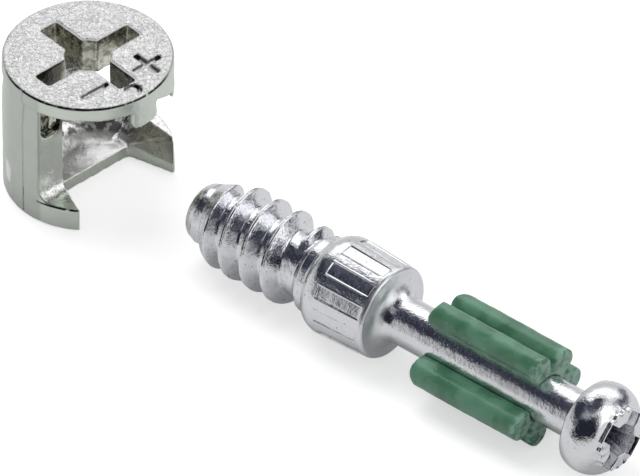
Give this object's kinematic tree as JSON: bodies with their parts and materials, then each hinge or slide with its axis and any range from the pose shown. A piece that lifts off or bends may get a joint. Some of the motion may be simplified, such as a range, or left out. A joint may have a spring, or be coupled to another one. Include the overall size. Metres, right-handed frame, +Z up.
{
  "type": "furniture cam lock fitting",
  "caption": "Cam lock set for joining furniture panels: a slotted cam housing beside its connecting bolt with a ribbed plastic sleeve.",
  "frame": {"origin": "middle of the cam housing's round base, on the surface that the set lies on", "axes": "+Z up along the cam housing's axis, +X to the right and +Y away from a viewer who stands in front of the set; the bolt lies to the right of the cam housing, pointing 40.4 degrees from +X towards -Y"},
  "size_m": [0.0442, 0.0401, 0.011],
  "materials": {
    "cast_zinc": "grainy zinc casting, bright plated",
    "plated_steel": "bright zinc plating",
    "green_plastic": "moulded, slightly glossy green"
  },
  "bodies": {
    "bolt": {"connecting_bolt": "plated_steel", "rib_sleeve": "green_plastic"},
    "cam": {"cam_housing": "cast_zinc"}
  },
  "joints": [
    {"name": "cam_turn", "type": "hinge", "parent": "bolt", "child": "cam", "pos_m": [0, 0, 0.0055], "axis": [0, 0, 1], "range_deg": [-125, 0]}
  ]
}
